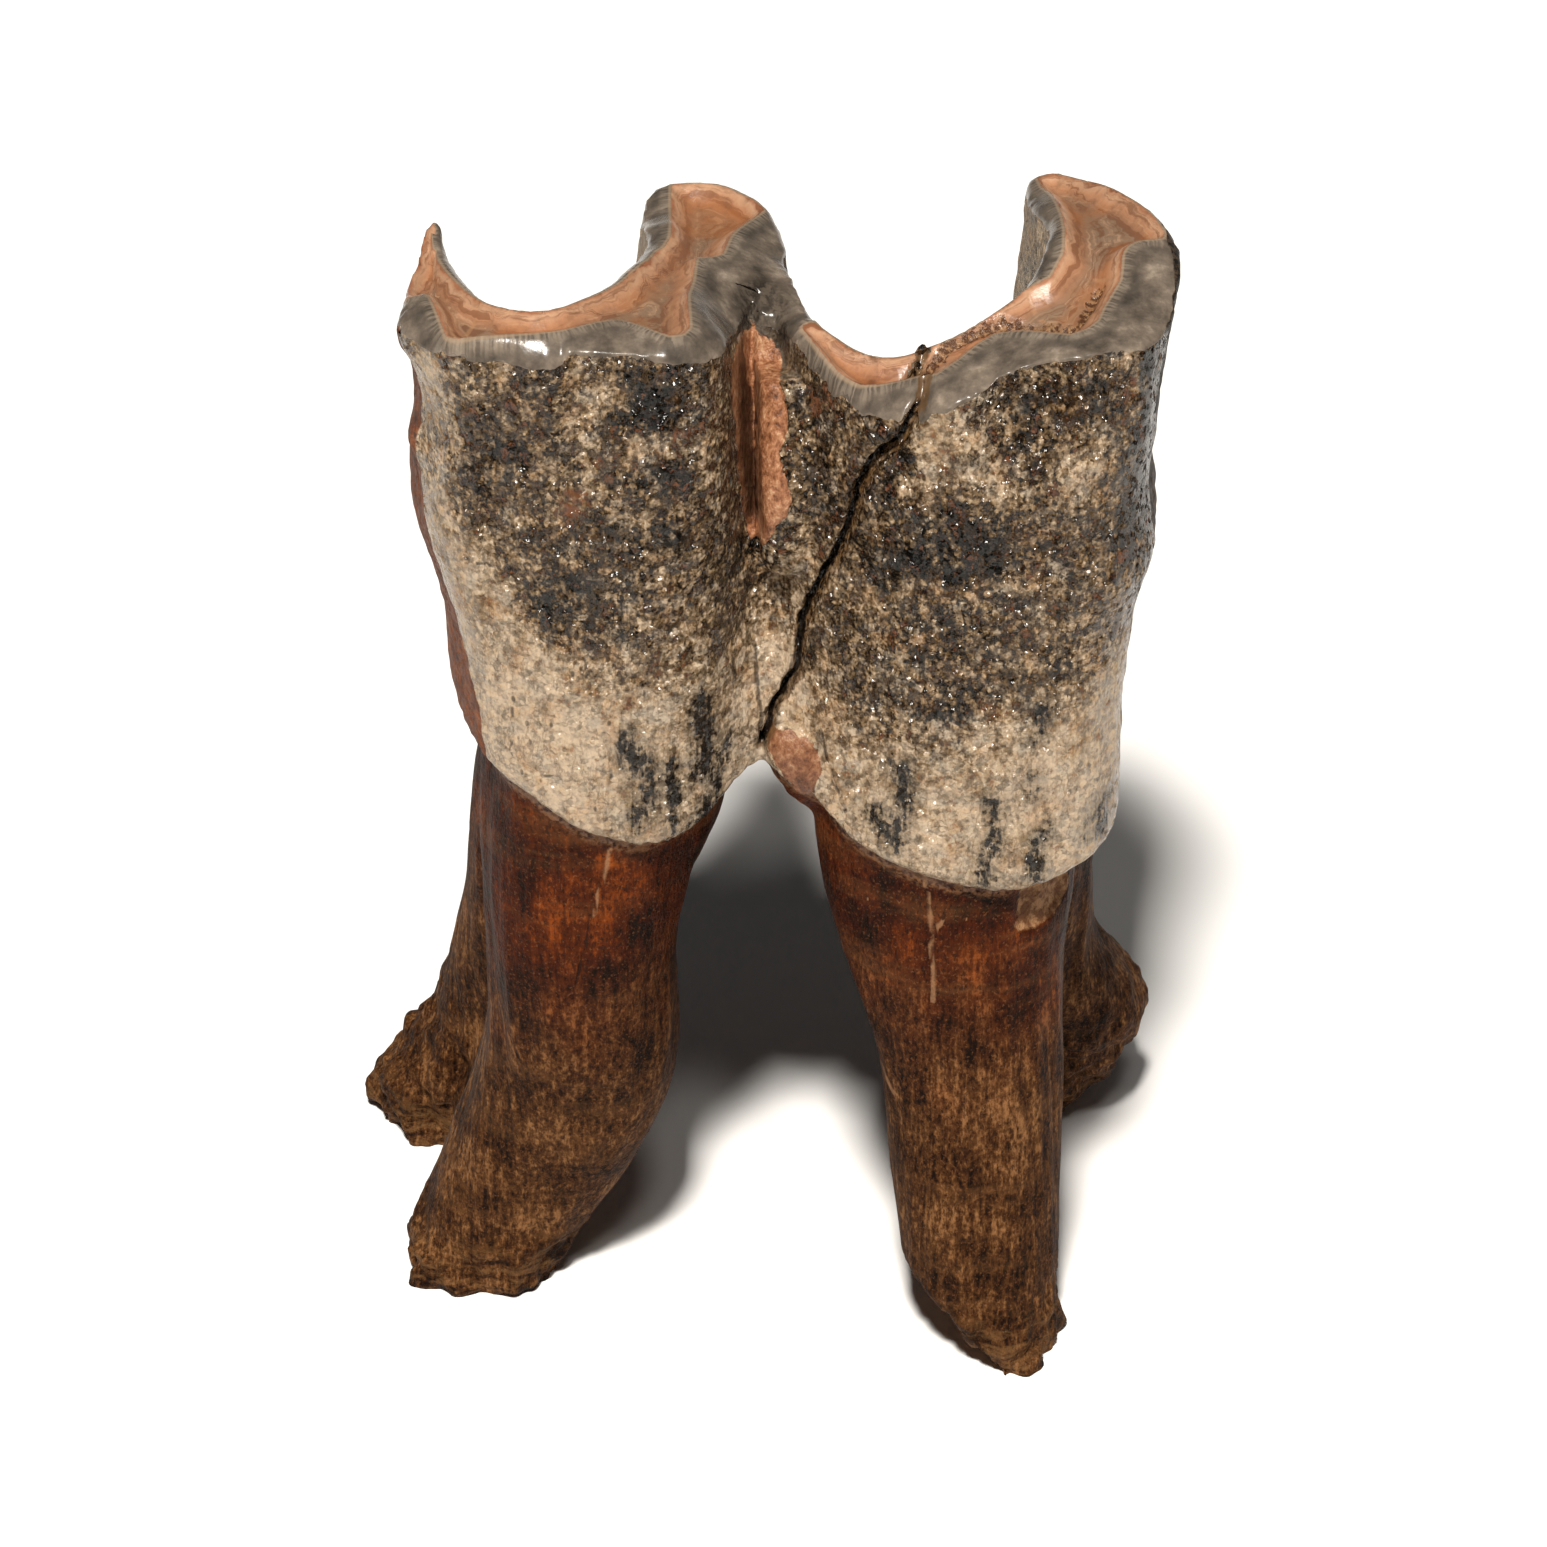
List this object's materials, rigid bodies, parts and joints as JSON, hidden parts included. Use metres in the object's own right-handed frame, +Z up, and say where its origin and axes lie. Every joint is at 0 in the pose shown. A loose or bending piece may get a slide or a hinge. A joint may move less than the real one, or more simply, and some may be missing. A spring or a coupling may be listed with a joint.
{
  "type": "fossil woolly rhino tooth",
  "caption": "Lower molar standing on its splayed roots: two-lobed worn enamel crown with crescent ridges, cement in the groove, and an arch between the root plates.",
  "frame": {"origin": "centre of the bounding box at the level of the root ends that the tooth stands on", "axes": "+Z up from the root ends to the chewing surface, +X along the tooth row towards the back of the jaw, -Y towards the cheek"},
  "size_m": [0.0528, 0.0364, 0.0765],
  "materials": {
    "tooth": "mottled cream, grey and black glossy enamel over red-brown satin roots"
  },
  "bodies": {
    "root": {"tooth": "tooth"}
  },
  "joints": []
}
